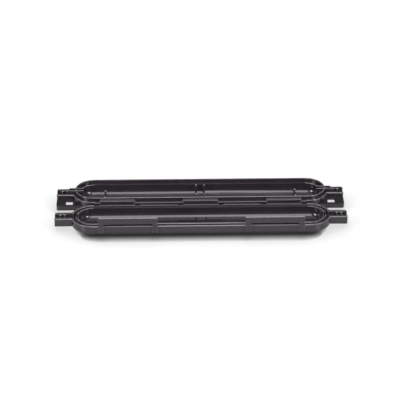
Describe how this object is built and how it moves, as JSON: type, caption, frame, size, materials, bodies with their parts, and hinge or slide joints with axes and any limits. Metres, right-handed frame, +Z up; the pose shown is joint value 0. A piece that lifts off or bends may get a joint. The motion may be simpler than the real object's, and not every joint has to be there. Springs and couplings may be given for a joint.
{
  "type": "fibre splice box",
  "caption": "Slim hinged plastic box, opened flat, whose long round-ended trough protects a fibre splice; toothed channels at both ends grip the drop cable.",
  "frame": {"origin": "middle of the underside of the box as it lies opened flat", "axes": "+X along the box, -Y from the hinge towards the cover, +Z up out of the open troughs"},
  "size_m": [0.2, 0.065, 0.0173],
  "materials": {
    "shell": "satin black moulded plastic",
    "seal": "matt black rubber"
  },
  "bodies": {
    "base": {"base_shell": "shell"},
    "cover": {"cover_shell": "shell", "rim_seal_rear": "seal", "rim_seal_front": "seal"}
  },
  "joints": [
    {"name": "cover_hinge", "type": "hinge", "parent": "base", "child": "cover", "pos_m": [0, 0.00065, 0.01], "axis": [-1, 0, 0], "range_deg": [0, 180]}
  ]
}
